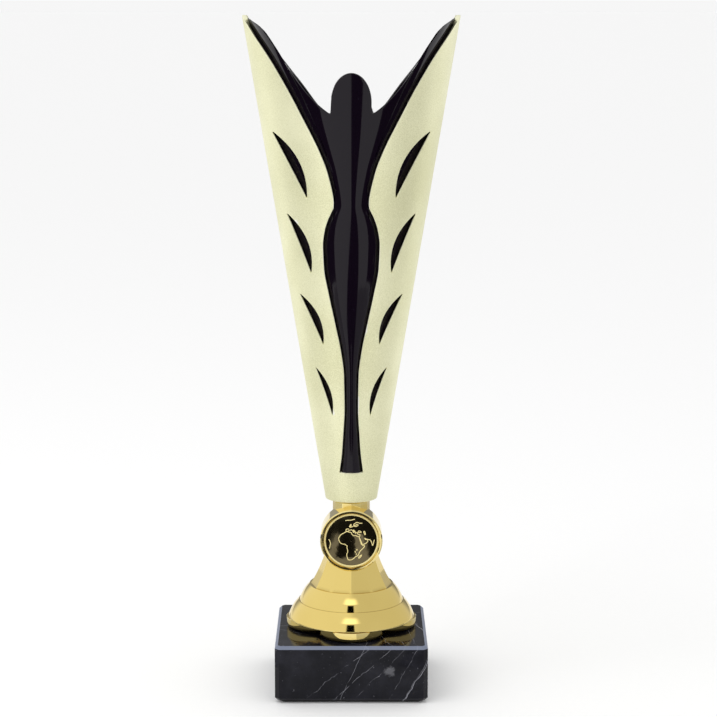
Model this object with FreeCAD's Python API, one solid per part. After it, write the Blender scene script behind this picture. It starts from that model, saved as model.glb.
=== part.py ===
import FreeCAD, Part
import math
import os

# Cup trophy: a conical cup with a pierced satin outer cone over a black inner cone that carries a
# stylised figure with raised arms, on a hollow gold foot with an emblem holder and a square marble base.
# Millimetres. Z is up, X is to the right and the front faces -Y. The origin is the centre of the
# face that the trophy stands on.

V = FreeCAD.Vector

# --- marble base and the sheet under it ---
BASE_SIDE = 70.0            # side of the square
MARBLE_HEIGHT = 26.0
BASE_EDGE_BEVEL = 1.4       # polished bevel round the top and bottom edges
BASE_CORNER_BEVEL = 2.0     # bevel on the four upright corners
PAD_THICKNESS = 1.0         # soft sheet glued underneath
PAD_INSET = 3.0             # from the marble's sides
POCKET_SIDE_ROOM = 2.0      # between the washer and the pocket under the marble
POCKET_END_ROOM = 1.0       # between the rod's end and the sheet

# --- threaded rod and its fasteners (M6) ---
ROD_RADIUS = 3.0
ROD_HOLE_GAP = 0.4          # radial room round the rod in every hole it passes
ROD_END_CHAMFER = 0.6
ROD_STICK_OUT = 2.5         # rod beyond each nut
THREAD_GAP = 0.05           # radial room between the rod and the nuts
WASHER_RADIUS = 6.0
WASHER_THICKNESS = 1.6
BASE_WASHER_RADIUS = 9.0
NUT_FLATS = 10.0
NUT_HEIGHT = 5.0
NUT_CHAMFER_SLOPE = math.tan(math.radians(30))

# --- foot ---
LOBES = 4
LOBE_RADIUS = 15.4          # the round lobes of the plinth
LOBE_OFFSET = 15.1          # from the axis to each lobe's centre
LOBE_ROUNDING = 2.2         # rounded lower edge of the lobes
PLINTH_HEIGHT = 4.8
LOWER_TIER_RADIUS = 29.5
LOWER_TIER_HEIGHT = 8.1
MIDDLE_RADIUS = 24.7        # crease between the two round tiers
UPPER_TIER_HEIGHT = 7.6
UPPER_RADIUS = 19.6         # top edge of the upper round tier
SKIRT_RADIUS = 18.9         # corner radius of the twelve-sided skirt at its lower edge
SKIRT_HEIGHT = 35.0         # from the upper crease to the neck
NECK_RADIUS = 8.6           # corner radius of the twelve-sided neck
NECK_HEIGHT = 6.3
NECK_RIM_HEIGHT = 1.4       # chamfer at the very top
TIER_BULGE = 0.55
CREASE_STEP = 0.35
FACETS = 12
SKIRT_CURVE = 2.0           # how quickly the skirt flares towards its lower edge
SKIRT_STATIONS = 7
FOOT_WALL = 2.2
NECK_WEB = 3.0              # closed top of the neck that the cup is clamped to
STANDING_RIM = 1.6          # width of the flat rim that the lobes stand on

# --- emblem holder on the front of the stem ---
HOLDER_HEIGHT = 44.5        # its centre above the marble
HOLDER_FRONT = 15.0         # front lip, from the axis
HOLDER_BACK = 1.0
HOLDER_EDGE = 0.5           # bevel round the lip
HOLDER_LIP = 1.1            # wall round the recess
RECESS_SIDE_ROOM = 0.6      # round the emblem
EMBLEM_SET_BACK = 0.4       # emblem's rim behind the lip
EMBLEM_RADIUS = 12.7
EMBLEM_PAD_INSET = 1.7
EMBLEM_PAD_THICKNESS = 0.6
EMBLEM_THICKNESS = 1.4
EMBLEM_RIM_WIDTH = 0.9
EMBLEM_RIM_BEVEL = 0.3
EMBLEM_FIELD_DEPTH = 0.5
ENAMEL_SIDE_GAP = 0.02
ENAMEL_EDGE_HEIGHT = 0.25   # where the enamel meets the rim
ENAMEL_CROWN = 0.25         # how far it stands up at its middle
ENAMEL_STEPS = 6

# --- cup ---
CUP_HEIGHT = 222.2
CUP_BOTTOM_RADIUS = 12.0
CUP_RIM_RADIUS = 49.2
OUTER_WALL = 2.0
OUTER_FLOOR = 2.6
NEST_GAP = 0.15             # between the inner cone and the outer cone
INNER_WALL = 1.6
INNER_FLOOR = 2.2

# --- the figure's window in the outer cone ---
# Half outline: share of the cup's height, and degrees round from the front. It is one drawing that
# is wrapped on the cone, so it follows the cone when the cone changes.
SILL_SHARE = 0.066
WINDOW_HALF = [
    (SILL_SHARE, 21.8), (0.104, 15.8), (0.140, 12.6), (0.211, 8.7), (0.275, 8.4), (0.328, 11.1),
    (0.380, 15.5), (0.446, 20.6), (0.497, 23.4), (0.545, 22.9), (0.578, 20.4), (0.602, 16.9),
    (0.629, 12.4), (0.688, 15.6), (0.731, 20.3), (0.806, 31.5), (0.850, 38.4), (0.905, 48.7),
    (0.933, 55.4), (0.9586, 63.2), (0.985, 73.5), (1.0, 86.0),
]
WINDOW_STATIONS = 66        # points that the outline is drawn through
TIP_ANGLE = WINDOW_HALF[-1][1]

# --- the figure's upper edge: two arms and a head ---
NOTCH_SHARE = 0.810
ARM_EDGE = [(TIP_ANGLE, 1.0), (71.0, 0.994), (59.8, 0.984), (52.0, 0.969), (45.9, 0.944),
            (36.9, 0.896), (26.8, 0.851), (17.7, 0.822), (12.9, NOTCH_SHARE)]
HEAD_HALF_WIDTH = 8.8
HEAD_CHIN_SHARE = 0.834     # where the head's straight sides end
HEAD_DOME_HEIGHT = 12.4
HEAD_DOME_STEPS = 12
RELIEF_RISE = 3.2           # height of the figure's middle above the inner cone
RELIEF_SIDE_GAP = 0.2       # to the window's edge
RELIEF_ROOT = 0.8           # how far its body is sunk in the inner cone's wall
RELIEF_COLUMNS = 14
RELIEF_STATIONS = 26
ARMS_TURN_SHARE = 0.92      # above this the arms turn round the cup, and the sections are twice as close

# --- the cup's back edge, seen from behind: degrees from the back, share of the height ---
BACK_EDGE = [(TIP_ANGLE, 1.0), (70.0, 0.975), (52.0, 0.930), (34.0, 0.860), (16.0, 0.785), (0.0, 0.755)]
BACK_INNER_RISE = 1.5       # the inner cone stands this much above the outer one at the back

# --- leaf-shaped slots: degrees and height share of the upper and lower tips, and how far each of the
# two sides bows out from the line between them, seen from the front ---
LEAVES = [
    ((60.1, 0.772), (33.1, 0.639), 4.8, 0.2),
    ((56.7, 0.607), (36.5, 0.486), 4.2, 0.3),
    ((54.9, 0.442), (30.9, 0.338), 3.8, 0.3),
    ((45.5, 0.290), (26.9, 0.188), 3.0, 0.4),
]

# --- heights that follow from the sizes above ---
MARBLE_BOTTOM = PAD_THICKNESS
POCKET_RADIUS = BASE_WASHER_RADIUS + POCKET_SIDE_ROOM
POCKET_DEPTH = WASHER_THICKNESS + NUT_HEIGHT + ROD_STICK_OUT + POCKET_END_ROOM
MARBLE_TOP = MARBLE_BOTTOM + MARBLE_HEIGHT
PLINTH_TOP = MARBLE_TOP + PLINTH_HEIGHT
MIDDLE_Z = PLINTH_TOP + LOWER_TIER_HEIGHT
SKIRT_Z = MIDDLE_Z + UPPER_TIER_HEIGHT
NECK_TOP = SKIRT_Z + SKIRT_HEIGHT + NECK_HEIGHT
CUP_Z = NECK_TOP
CUP_TOP = CUP_Z + CUP_HEIGHT
HOLDER_Z = MARBLE_TOP + HOLDER_HEIGHT
RECESS_RADIUS = EMBLEM_RADIUS + RECESS_SIDE_ROOM
RECESS_DEPTH = EMBLEM_SET_BACK + EMBLEM_THICKNESS + EMBLEM_PAD_THICKNESS
HOLDER_RADIUS = RECESS_RADIUS + HOLDER_LIP
ROD_HOLE_RADIUS = ROD_RADIUS + ROD_HOLE_GAP
CONE_SLOPE = (CUP_RIM_RADIUS - CUP_BOTTOM_RADIUS) / CUP_HEIGHT
CONE_STRETCH = math.sqrt(1 + CONE_SLOPE ** 2)

# --- how far the cutting shapes run past what they cut ---
FAR = 200.0                 # across the whole trophy
CUT_MARGIN = 1.0
OVER_RIM = V(0, 0, 10.0)
NEARLY = 0.01               # how close a direction has to be to count as upright or level


def edge(a, b):
    return Part.makeLine(a, b)


def turned(points):
    """A solid of revolution about Z from (radius, height) points."""
    ring = [V(r, 0, z) for r, z in points]
    face = Part.Face(Part.makePolygon(ring + ring[:1]))
    return face.revolve(V(0, 0, 0), V(0, 0, 1), 360)


def upright_edges(shape):
    return [e for e in shape.Edges if abs(e.tangentAt(e.FirstParameter).z) > 1 - NEARLY]


def level_edges(shape):
    return [e for e in shape.Edges if abs(e.tangentAt(e.FirstParameter).z) < NEARLY]


def disc(radius, thickness, z, hole=0.0):
    """A flat round piece on the axis, with a hole through it if one is given."""
    body = Part.makeCylinder(radius, thickness, V(0, 0, z))
    if hole:
        body = body.cut(Part.makeCylinder(hole, thickness, V(0, 0, z)))
    return body


def cup_z(share):
    return CUP_Z + share * CUP_HEIGHT


def cone_radius(z):
    """Outside radius of the cup."""
    return CUP_BOTTOM_RADIUS + (z - CUP_Z) * CONE_SLOPE


def smooth(pairs, at):
    """A smooth curve through (position, value) pairs, by cubic spans with limited slopes."""
    xs = [p[0] for p in pairs]
    ys = [p[1] for p in pairs]
    at = min(max(at, xs[0]), xs[-1])
    steps = [(ys[i + 1] - ys[i]) / (xs[i + 1] - xs[i]) for i in range(len(xs) - 1)]
    slopes = [steps[0]]
    for before, after in zip(steps, steps[1:]):
        slopes.append(0.0 if before * after <= 0 else 2 * before * after / (before + after))
    slopes.append(steps[-1])
    i = max(k for k in range(len(steps)) if xs[k] <= at)
    h = xs[i + 1] - xs[i]
    t = (at - xs[i]) / h
    return (
        ys[i] * (1 + 2 * t) * (1 - t) ** 2
        + slopes[i] * h * t * (1 - t) ** 2
        + ys[i + 1] * t * t * (3 - 2 * t)
        + slopes[i + 1] * h * t * t * (t - 1)
    )


def spline(points):
    curve = Part.BSplineCurve()
    curve.interpolate(points)
    return curve.toShape()


def mirrored(points):
    """The same points on the other side of the middle plane, in reverse order."""
    return [V(-p.x, p.y, p.z) for p in reversed(points)]


def prism(edges, direction):
    """A solid swept from a closed outline of edges."""
    wire = Part.Wire(Part.__sortEdges__(edges))
    return Part.Face(wire).extrude(direction)


# ---------------------------------------------------------------- base

def base_pad():
    side = BASE_SIDE - 2 * PAD_INSET
    sheet = Part.makeBox(side, side, PAD_THICKNESS, V(-side / 2, -side / 2, 0))
    return sheet.makeFillet(BASE_CORNER_BEVEL, upright_edges(sheet))


def marble_base():
    half = BASE_SIDE / 2
    block = Part.makeBox(BASE_SIDE, BASE_SIDE, MARBLE_HEIGHT, V(-half, -half, MARBLE_BOTTOM))
    block = block.makeChamfer(BASE_CORNER_BEVEL, upright_edges(block))
    block = block.makeChamfer(BASE_EDGE_BEVEL, level_edges(block))
    pocket = disc(POCKET_RADIUS, POCKET_DEPTH, MARBLE_BOTTOM)
    return block.cut(pocket).cut(disc(ROD_HOLE_RADIUS, MARBLE_HEIGHT, MARBLE_BOTTOM))


BASE_WASHER_Z = MARBLE_BOTTOM + POCKET_DEPTH - WASHER_THICKNESS
BASE_NUT_Z = BASE_WASHER_Z - NUT_HEIGHT
CUP_WASHER_Z = CUP_Z + OUTER_FLOOR + NEST_GAP + INNER_FLOOR
CUP_NUT_Z = CUP_WASHER_Z + WASHER_THICKNESS


def hex_nut(z):
    """A hexagon nut with its corners turned off at both ends."""
    corner = NUT_FLATS / math.sqrt(3)
    ring = [V(corner * math.cos(math.radians(60 * k)), corner * math.sin(math.radians(60 * k)), z)
            for k in range(6)]
    body = Part.Face(Part.makePolygon(ring + ring[:1])).extrude(V(0, 0, NUT_HEIGHT))
    flat = NUT_FLATS / 2
    outside = corner + CUT_MARGIN
    drop = (outside - flat) * NUT_CHAMFER_SLOPE
    top = z + NUT_HEIGHT
    turned_off = turned([
        (0, z), (flat, z), (outside, z + drop), (outside, top - drop), (flat, top), (0, top),
    ])
    return body.common(turned_off).cut(disc(ROD_RADIUS + THREAD_GAP, NUT_HEIGHT, z))


def tie_rod():
    low = BASE_NUT_Z - ROD_STICK_OUT
    high = CUP_NUT_Z + NUT_HEIGHT + ROD_STICK_OUT
    c = ROD_END_CHAMFER
    return turned([(0, low), (ROD_RADIUS - c, low), (ROD_RADIUS, low + c), (ROD_RADIUS, high - c),
                   (ROD_RADIUS - c, high), (0, high)])


# ---------------------------------------------------------------- foot

def lobes(make):
    """Equal solids round the axis, one for each lobe of the plinth, joined."""
    turns = [2 * math.pi * k / LOBES for k in range(LOBES)]
    pieces = [make(V(LOBE_OFFSET * math.cos(a), LOBE_OFFSET * math.sin(a), 0)) for a in turns]
    return pieces[0].multiFuse(pieces[1:])


def plinth_lobe(centre):
    z = MARBLE_TOP
    puck = Part.makeCylinder(LOBE_RADIUS, PLINTH_HEIGHT, V(centre.x, centre.y, z))
    lower = [e for e in puck.Edges if e.Closed and abs(e.CenterOfMass.z - z) < NEARLY]
    return puck.makeFillet(LOBE_ROUNDING, lower)


STANDING_RADIUS = LOBE_RADIUS - LOBE_ROUNDING
CORE_BOTTOM = MARBLE_TOP - CUT_MARGIN
CORE_TOP = NECK_TOP - NECK_WEB


def core_lobe(centre):
    return Part.makeCylinder(STANDING_RADIUS - STANDING_RIM, CORE_TOP - CORE_BOTTOM,
                             V(centre.x, centre.y, CORE_BOTTOM))


def core_centre():
    """The round middle of the core, which stays inside the corners between the lobes' standing rims."""
    half_gap = LOBE_OFFSET * math.cos(math.pi / LOBES)
    corner = half_gap + math.sqrt(max(0.0, STANDING_RADIUS ** 2 - half_gap ** 2))
    return disc(corner - STANDING_RIM, CORE_TOP - CORE_BOTTOM, CORE_BOTTOM)


def bulged(r1, z1, r2, z2, bulge):
    """An arc from one (radius, height) to another that swells outwards by the bulge."""
    length = math.hypot(r2 - r1, z2 - z1)
    out_r = (z2 - z1) / length
    out_z = -(r2 - r1) / length
    middle = V((r1 + r2) / 2 + out_r * bulge, 0, (z1 + z2) / 2 + out_z * bulge)
    return Part.Arc(V(r1, 0, z1), middle, V(r2, 0, z2)).toShape()


def tiers():
    """The two round tiers between the plinth and the skirt, swollen a little, with a step at each crease."""
    step = CREASE_STEP
    corners = [V(0, 0, PLINTH_TOP), V(LOWER_TIER_RADIUS, 0, PLINTH_TOP)]
    edges = [
        edge(*corners),
        bulged(LOWER_TIER_RADIUS, PLINTH_TOP, MIDDLE_RADIUS, MIDDLE_Z, TIER_BULGE),
        edge(V(MIDDLE_RADIUS, 0, MIDDLE_Z), V(MIDDLE_RADIUS - step, 0, MIDDLE_Z)),
        bulged(MIDDLE_RADIUS - step, MIDDLE_Z, UPPER_RADIUS, SKIRT_Z, TIER_BULGE),
        edge(V(UPPER_RADIUS, 0, SKIRT_Z), V(0, 0, SKIRT_Z)),
        edge(V(0, 0, SKIRT_Z), corners[0]),
    ]
    return Part.Face(Part.Wire(edges)).revolve(V(0, 0, 0), V(0, 0, 1), 360)


def skirt_radius(share):
    """Corner radius of the twelve-sided skirt, from its lower edge (0) to the neck (1)."""
    return NECK_RADIUS + (SKIRT_RADIUS - NECK_RADIUS) * math.exp(-SKIRT_CURVE * share) * (1 - share ** 2)


def twelve_sided(radius, z):
    turn = 2 * math.pi / FACETS
    ring = [V(radius * math.sin(turn * k), -radius * math.cos(turn * k), z) for k in range(FACETS)]
    return Part.makePolygon(ring + ring[:1])


def skirt():
    """The twelve-sided skirt and neck, with a chamfer at the very top."""
    shares = [k / (SKIRT_STATIONS - 1) for k in range(SKIRT_STATIONS)]
    flare = Part.makeLoft([twelve_sided(skirt_radius(s), SKIRT_Z + s * SKIRT_HEIGHT) for s in shares], True)
    rim = NECK_TOP - NECK_RIM_HEIGHT
    neck = Part.Face(twelve_sided(NECK_RADIUS, SKIRT_Z + SKIRT_HEIGHT)).extrude(
        V(0, 0, rim - SKIRT_Z - SKIRT_HEIGHT))
    chamfer = Part.makeLoft([twelve_sided(NECK_RADIUS, rim),
                             twelve_sided(NECK_RADIUS - NECK_RIM_HEIGHT, NECK_TOP)], True, True)
    return flare.fuse(neck).fuse(chamfer)


def along_y(points):
    """A solid of revolution about the emblem's axis from (radius, y) points."""
    ring = [V(r, y, HOLDER_Z) for r, y in points]
    face = Part.Face(Part.makePolygon(ring + ring[:1]))
    return face.revolve(V(0, 0, HOLDER_Z), V(0, 1, 0), 360)


def holder():
    e = HOLDER_EDGE
    return along_y([(0, -HOLDER_BACK), (HOLDER_RADIUS, -HOLDER_BACK), (HOLDER_RADIUS, -HOLDER_FRONT + e),
                    (HOLDER_RADIUS - e, -HOLDER_FRONT), (0, -HOLDER_FRONT)])


def recess():
    return along_y([(0, -HOLDER_FRONT + RECESS_DEPTH), (RECESS_RADIUS, -HOLDER_FRONT + RECESS_DEPTH),
                    (RECESS_RADIUS, -HOLDER_FRONT - CUT_MARGIN), (0, -HOLDER_FRONT - CUT_MARGIN)])


def foot_core():
    """The hollow of the foot: it follows the outside at the wall's thickness and can be drawn downwards."""
    wall = FOOT_WALL
    flat = math.cos(math.pi / FACETS)
    points = [(0, CORE_BOTTOM), (LOWER_TIER_RADIUS - wall, CORE_BOTTOM),
              (LOWER_TIER_RADIUS - wall, PLINTH_TOP), (MIDDLE_RADIUS - wall, MIDDLE_Z - wall / 2),
              (UPPER_RADIUS * flat - wall, SKIRT_Z - wall / 2)]
    for k in range(1, SKIRT_STATIONS):
        s = k / (SKIRT_STATIONS - 1)
        points.append((skirt_radius(s) * flat - wall, SKIRT_Z + s * SKIRT_HEIGHT))
    points += [(NECK_RADIUS * flat - wall, CORE_TOP), (0, CORE_TOP)]
    shape = turned(points)
    return shape.common(lobes(core_lobe).fuse(core_centre()))


def foot():
    body = lobes(plinth_lobe).fuse(tiers()).fuse(skirt()).fuse(holder())
    body = body.cut(recess()).cut(foot_core())
    rod_hole = disc(ROD_HOLE_RADIUS, NECK_WEB + 2 * CUT_MARGIN, CORE_TOP - CUT_MARGIN)
    return body.cut(rod_hole).removeSplitter()


# ---------------------------------------------------------------- emblem

EMBLEM_BACK = -HOLDER_FRONT + RECESS_DEPTH - EMBLEM_PAD_THICKNESS
EMBLEM_FIELD_RADIUS = EMBLEM_RADIUS - EMBLEM_RIM_WIDTH


def emblem_pad():
    front = EMBLEM_BACK
    back = front + EMBLEM_PAD_THICKNESS
    r = EMBLEM_RADIUS - EMBLEM_PAD_INSET
    return along_y([(0, back), (r, back), (r, front), (0, front)])


def emblem_disc():
    back = EMBLEM_BACK
    front = back - EMBLEM_THICKNESS
    field = front + EMBLEM_FIELD_DEPTH
    r = EMBLEM_FIELD_RADIUS
    e = EMBLEM_RIM_BEVEL
    return along_y([(0, back), (EMBLEM_RADIUS, back), (EMBLEM_RADIUS, front + e), (EMBLEM_RADIUS - e, front),
                    (r + e, front), (r, front + e), (r, field), (0, field)])


def emblem_enamel():
    """The black field inside the rim, a little crowned towards its middle."""
    back = EMBLEM_BACK - EMBLEM_THICKNESS + EMBLEM_FIELD_DEPTH
    r = EMBLEM_FIELD_RADIUS - ENAMEL_SIDE_GAP
    side = back - ENAMEL_EDGE_HEIGHT
    shares = [k / ENAMEL_STEPS for k in range(ENAMEL_STEPS, -1, -1)]
    crown = [(r * s, side - ENAMEL_CROWN * (1 - s * s)) for s in shares]
    return along_y([(0, back), (r, back)] + crown)


# ---------------------------------------------------------------- cup

def cone_shell(gap, wall, floor_z, floor):
    """A conical cup. gap is how far its outside lies inside the cup's own outside, square to the wall."""
    out_shift = gap * CONE_STRETCH
    in_shift = (gap + wall) * CONE_STRETCH
    top = CUP_TOP
    inside = floor_z + floor
    body = turned([
        (0, floor_z), (cone_radius(floor_z) - out_shift, floor_z), (cone_radius(top) - out_shift, top),
        (cone_radius(top) - in_shift, top), (cone_radius(inside) - in_shift, inside), (0, inside),
    ])
    return body.cut(disc(ROD_HOLE_RADIUS, floor + 2 * CUT_MARGIN, floor_z - CUT_MARGIN))


def on_front(angle, share):
    """A point of the outline plane, straight in front of the cone's point at that angle and height."""
    z = cup_z(share)
    return V(cone_radius(z) * math.sin(math.radians(angle)), 0, z)


def window_angle(share):
    return smooth(WINDOW_HALF, share)


def window_prism():
    """The opening for the figure, cut straight back through the front wall."""
    shares = [SILL_SHARE + (1 - SILL_SHARE) * k / WINDOW_STATIONS for k in range(WINDOW_STATIONS + 1)]
    right = [on_front(window_angle(s), s) for s in shares]
    left = mirrored(right)
    tip_right = right[-1]
    tip_left = left[0]
    outline = [
        edge(left[-1], right[0]), spline(right), edge(tip_right, tip_right + OVER_RIM),
        edge(tip_right + OVER_RIM, tip_left + OVER_RIM), edge(tip_left + OVER_RIM, tip_left), spline(left),
    ]
    return prism(outline, V(0, -FAR, 0))


def back_prism(rise):
    """Everything above the cup's back edge."""
    right = [on_front(a, s) + V(0, 0, rise) for a, s in BACK_EDGE]
    points = right + mirrored(right)[1:]
    tip_left = points[-1]
    tip_right = points[0]
    outline = [spline(points), edge(tip_left, tip_left + OVER_RIM),
               edge(tip_left + OVER_RIM, tip_right + OVER_RIM), edge(tip_right + OVER_RIM, tip_right)]
    return prism(outline, V(0, FAR, 0))


def leaf(upper, lower, bow, flat_bow, side, front):
    """One leaf-shaped slot, cut straight back, or straight forward through the back wall."""
    a = on_front(side * upper[0], upper[1])
    b = on_front(side * lower[0], lower[1])
    along = (b - a).normalize()
    inwards = V(along.z, 0, -along.x) * side
    centre = (a + b) * 0.5
    outline = [Part.Arc(a, centre + inwards * bow, b).toShape(),
               Part.Arc(a, centre + inwards * flat_bow, b).toShape()]
    return prism(outline, V(0, -front * FAR, 0))


def leaf_slots():
    return [leaf(*shape, side, front) for shape in LEAVES for side in (1, -1) for front in (1, -1)]


def outer_cone():
    body = cone_shell(0, OUTER_WALL, CUP_Z, OUTER_FLOOR)
    body = body.cut(window_prism()).cut(back_prism(0))
    for slot in leaf_slots():
        body = body.cut(slot)
    return body


INNER_GAP = OUTER_WALL + NEST_GAP


def relief_section(share):
    """The figure's cross-section at one height: a domed front, and a back sunk in the inner cone's wall."""
    z = cup_z(share)
    base = cone_radius(z) - INNER_GAP * CONE_STRETCH
    reach = cone_radius(z) * math.sin(math.radians(window_angle(share))) - RELIEF_SIDE_GAP
    half = math.asin(reach / cone_radius(z))
    front = []
    for k in range(2 * RELIEF_COLUMNS + 1):
        u = math.sin(math.pi / 2 * (k / RELIEF_COLUMNS - 1))
        r = base + RELIEF_RISE * math.sqrt(1 - min(1.0, u * u))
        front.append(V(r * math.sin(u * half), -r * math.cos(u * half), z))
    root = base - RELIEF_ROOT
    back = [V(root * math.sin(a), -root * math.cos(a), z) for a in (-half, 0, half)]
    return Part.Wire([
        spline(front), edge(front[-1], back[2]), Part.Arc(back[2], back[1], back[0]).toShape(),
        edge(back[0], front[0]),
    ])


def figure_relief():
    step = (1 - SILL_SHARE) / (RELIEF_STATIONS - 1)
    shares = [SILL_SHARE + step * k for k in range(RELIEF_STATIONS)]
    shares += [s + step / 2 for s in shares[:-1] if s > ARMS_TURN_SHARE]
    shares[0] += RELIEF_SIDE_GAP / CUP_HEIGHT
    return Part.makeLoft([relief_section(s) for s in sorted(shares)], True)


def figure_edge_prism():
    """Everything in front that is above the arms and the head."""
    arm = [on_front(a, s) for a, s in ARM_EDGE]
    notch = V(HEAD_HALF_WIDTH, 0, arm[-1].z)
    chin = cup_z(HEAD_CHIN_SHARE)
    side = V(HEAD_HALF_WIDTH, 0, chin)
    dome = [V(HEAD_HALF_WIDTH * math.cos(a), 0, chin + HEAD_DOME_HEIGHT * math.sin(a))
            for a in (math.pi * k / HEAD_DOME_STEPS for k in range(HEAD_DOME_STEPS + 1))]
    right = spline(arm)
    left = spline(mirrored(arm))
    tip_right = arm[0]
    tip_left = V(-arm[0].x, 0, arm[0].z)
    outline = [
        right, edge(arm[-1], notch), edge(notch, side), spline(dome),
        edge(dome[-1], V(-notch.x, 0, notch.z)), edge(V(-notch.x, 0, notch.z), V(-arm[-1].x, 0, arm[-1].z)),
        left, edge(tip_left, tip_left + OVER_RIM), edge(tip_left + OVER_RIM, tip_right + OVER_RIM),
        edge(tip_right + OVER_RIM, tip_right),
    ]
    return prism(outline, V(0, -FAR, 0))


def inner_cone():
    body = cone_shell(INNER_GAP, INNER_WALL, CUP_Z + OUTER_FLOOR + NEST_GAP, INNER_FLOOR)
    body = body.fuse(figure_relief())
    return body.cut(figure_edge_prism()).cut(back_prism(BACK_INNER_RISE))


NODES = {
    "base_pad": base_pad,
    "marble_base": marble_base,
    "base_washer": lambda: disc(BASE_WASHER_RADIUS, WASHER_THICKNESS, BASE_WASHER_Z, ROD_HOLE_RADIUS),
    "base_nut": lambda: hex_nut(BASE_NUT_Z),
    "tie_rod": tie_rod,
    "foot": foot,
    "emblem_pad": emblem_pad,
    "emblem_disc": emblem_disc,
    "emblem_enamel": emblem_enamel,
    "outer_cone": outer_cone,
    "inner_cone": inner_cone,
    "cup_washer": lambda: disc(WASHER_RADIUS, WASHER_THICKNESS, CUP_WASHER_Z, ROD_HOLE_RADIUS),
    "cup_nut": lambda: hex_nut(CUP_NUT_Z),
}

os.makedirs("parts", exist_ok=True)
for name, make in NODES.items():
    shape = make()
    if not shape.isValid() or len(shape.Solids) != 1:
        raise ValueError(f"{name}: valid {shape.isValid()}, {len(shape.Solids)} solids")
    shape.exportStep(f"parts/{name}.step")
    box = shape.BoundBox
    print(f"{name}: {shape.Volume / 1000:.2f} cm3, x {box.XMin:.2f} {box.XMax:.2f}, "
          f"y {box.YMin:.2f} {box.YMax:.2f}, z {box.ZMin:.2f} {box.ZMax:.2f}")
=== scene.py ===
import math

import bmesh
import bpy
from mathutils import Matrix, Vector


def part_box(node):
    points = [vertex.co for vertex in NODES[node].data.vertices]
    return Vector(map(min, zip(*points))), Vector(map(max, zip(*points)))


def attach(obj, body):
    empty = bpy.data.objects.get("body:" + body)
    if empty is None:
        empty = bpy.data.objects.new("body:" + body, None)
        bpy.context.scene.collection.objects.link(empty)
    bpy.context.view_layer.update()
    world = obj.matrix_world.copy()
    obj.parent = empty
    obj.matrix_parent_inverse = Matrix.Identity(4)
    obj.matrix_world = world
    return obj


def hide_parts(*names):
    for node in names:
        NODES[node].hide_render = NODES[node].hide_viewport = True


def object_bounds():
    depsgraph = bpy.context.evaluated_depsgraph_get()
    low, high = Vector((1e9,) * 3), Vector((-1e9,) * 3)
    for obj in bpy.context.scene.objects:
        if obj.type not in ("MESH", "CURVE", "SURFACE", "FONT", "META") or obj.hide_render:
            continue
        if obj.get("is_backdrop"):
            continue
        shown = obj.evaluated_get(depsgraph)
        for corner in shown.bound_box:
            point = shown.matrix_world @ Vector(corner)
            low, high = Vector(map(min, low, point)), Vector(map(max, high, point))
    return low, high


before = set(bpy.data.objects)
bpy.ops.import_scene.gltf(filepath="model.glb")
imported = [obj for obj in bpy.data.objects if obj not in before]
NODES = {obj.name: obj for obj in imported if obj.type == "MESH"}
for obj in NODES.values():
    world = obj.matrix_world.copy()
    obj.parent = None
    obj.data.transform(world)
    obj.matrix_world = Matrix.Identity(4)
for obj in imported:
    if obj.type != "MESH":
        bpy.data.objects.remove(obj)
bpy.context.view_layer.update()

# Cup trophy. Metres, Z up, the front faces -Y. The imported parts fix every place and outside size;
# the pieces below stand for the parts whose edges and surfaces need a finer finish.

MM = 0.001

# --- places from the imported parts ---
MARBLE_LOW, MARBLE_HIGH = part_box("marble_base")
FOOT_LOW, FOOT_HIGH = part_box("foot")
OUTER_LOW, OUTER_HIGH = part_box("outer_cone")
INNER_LOW, INNER_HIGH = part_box("inner_cone")
EMBLEM_LOW, EMBLEM_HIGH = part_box("emblem_disc")
ENAMEL_LOW, ENAMEL_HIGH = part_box("emblem_enamel")
CUP_Z = OUTER_LOW.z
CUP_TOP = OUTER_HIGH.z
CUP_HEIGHT = CUP_TOP - CUP_Z
EMBLEM_Z = (EMBLEM_LOW.z + EMBLEM_HIGH.z) / 2
EMBLEM_RADIUS = (EMBLEM_HIGH.x - EMBLEM_LOW.x) / 2
ENAMEL_RADIUS = (ENAMEL_HIGH.x - ENAMEL_LOW.x) / 2

# --- cup sizes ---
CUP_BOTTOM_RADIUS = 12.0 * MM
CUP_RIM_RADIUS = 49.2 * MM
OUTER_WALL = 2.0 * MM
OUTER_FLOOR = 2.6 * MM
NEST_GAP = 0.15 * MM
INNER_WALL = 1.6 * MM
INNER_FLOOR = 2.2 * MM
EDGE_ROUNDING = 0.3 * MM        # moulded edge of the window, the slots and the rim
ROD_HOLE = 3.4 * MM
THREAD_PITCH = 1.0 * MM
SEAM = 180.0                    # the rolled sheet closes at the back, in degrees from the front
SEAM_OVERLAP = 4.0
CUT_FADE_START = 62.0           # cuts are straight up to this angle, and square to the wall at the next
CUT_FADE_END = 88.0

# half outline of the figure's window: share of the cup's height, degrees from the front
SILL_SHARE = 0.066
WINDOW_HALF = [
    (SILL_SHARE, 21.8), (0.104, 15.8), (0.140, 12.6), (0.211, 8.7), (0.275, 8.4), (0.328, 11.1),
    (0.380, 15.5), (0.446, 20.6), (0.497, 23.4), (0.545, 22.9), (0.578, 20.4), (0.602, 16.9),
    (0.629, 12.4), (0.688, 15.6), (0.731, 20.3), (0.806, 31.5), (0.850, 38.4), (0.905, 48.7),
    (0.933, 55.4), (0.9586, 63.2), (0.985, 73.5), (1.0, 86.0),
]
TIP_ANGLE = WINDOW_HALF[-1][1]

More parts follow.
